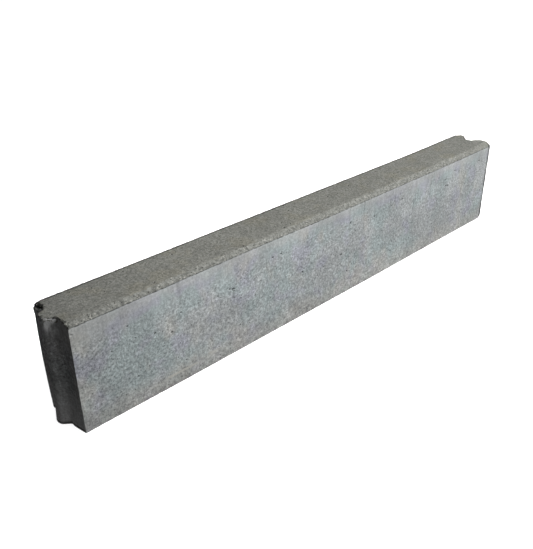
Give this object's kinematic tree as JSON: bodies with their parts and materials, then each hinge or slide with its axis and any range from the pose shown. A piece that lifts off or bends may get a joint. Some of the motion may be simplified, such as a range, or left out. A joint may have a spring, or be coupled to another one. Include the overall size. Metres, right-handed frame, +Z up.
{
  "type": "concrete edging kerb",
  "caption": "Straight precast concrete edging kerb of plain rectangular section, with a shallow bevel along the front top edge, a tongue at one end and a matching groove at the other.",
  "frame": {"origin": "on the base, midway between the two end shoulders and midway between the long faces", "axes": "+X along the kerb from the tongue to the groove, -Y out of the front face with the bevel, +Z up from the base to the top face"},
  "size_m": [1.015, 0.08, 0.175],
  "materials": {
    "backing_concrete": "matt, mould-smooth grey concrete",
    "facing_concrete": "matt, open sandy grey-brown concrete"
  },
  "bodies": {
    "root": {"backing_concrete": "backing_concrete", "facing_concrete": "facing_concrete"}
  },
  "joints": []
}
